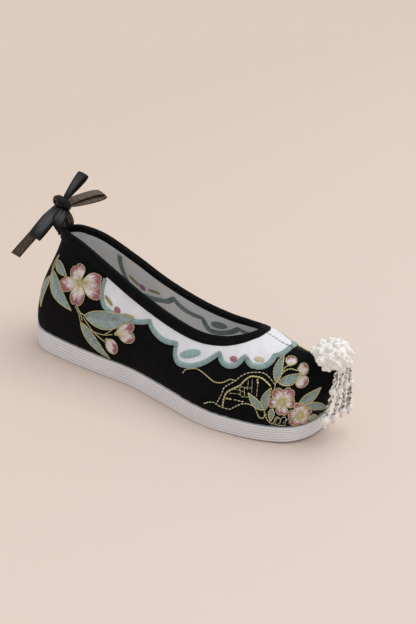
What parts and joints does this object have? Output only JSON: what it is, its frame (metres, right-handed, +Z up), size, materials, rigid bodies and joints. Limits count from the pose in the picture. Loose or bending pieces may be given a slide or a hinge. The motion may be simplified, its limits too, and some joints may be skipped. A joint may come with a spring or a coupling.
{
  "type": "embroidered cloth shoe",
  "caption": "Low cloth shoe with a ribbed white sole, black embroidered upper, scalloped pale collar panel, ribbon bow at the heel and a bead pompom with fringe at the toe.",
  "frame": {"origin": "on the floor, at the sole's flat underside on its centre line, under the waist", "axes": "+X to the toe, +Y to the inner side of the right foot, +Z up"},
  "size_m": [0.2692, 0.0801, 0.1296],
  "materials": {
    "sole_white": "layered off-white cloth sole, ribbed side",
    "lining_white": "grey-white woven cotton lining",
    "black_cloth": "matte black woven cloth",
    "black_binding": "black cotton tape",
    "white_satin": "white soft cloth panel",
    "teal_thread": "pale teal satin-stitch border",
    "ribbon_black": "black ribbon with a fine rib",
    "ribbon_bronze": "bronze lurex face of the ribbon",
    "pearl_white": "white pearl and glass beads"
  },
  "bodies": {
    "root": {"bead_pompom": "pearl_white", "bow_flap_outer": "ribbon_black", "bow_knot": "ribbon_black", "bow_loop_inner": "ribbon_bronze", "bow_loop_outer": "ribbon_black", "bow_loop_upper": "ribbon_black", "bow_tail_outer": "ribbon_bronze", "collar_binding": "black_binding", "collar_panel_inner": "white_satin", "collar_panel_outer": "white_satin", "fringe_strand_1": "pearl_white", "fringe_strand_2": "pearl_white", "fringe_strand_3": "pearl_white", "fringe_strand_4": "pearl_white", "fringe_strand_5": "pearl_white", "heel_strap": "ribbon_black", "insole": "lining_white", "outsole": "sole_white", "panel_border_inner": "teal_thread", "panel_border_outer": "teal_thread", "upper": "black_cloth"}
  },
  "joints": []
}
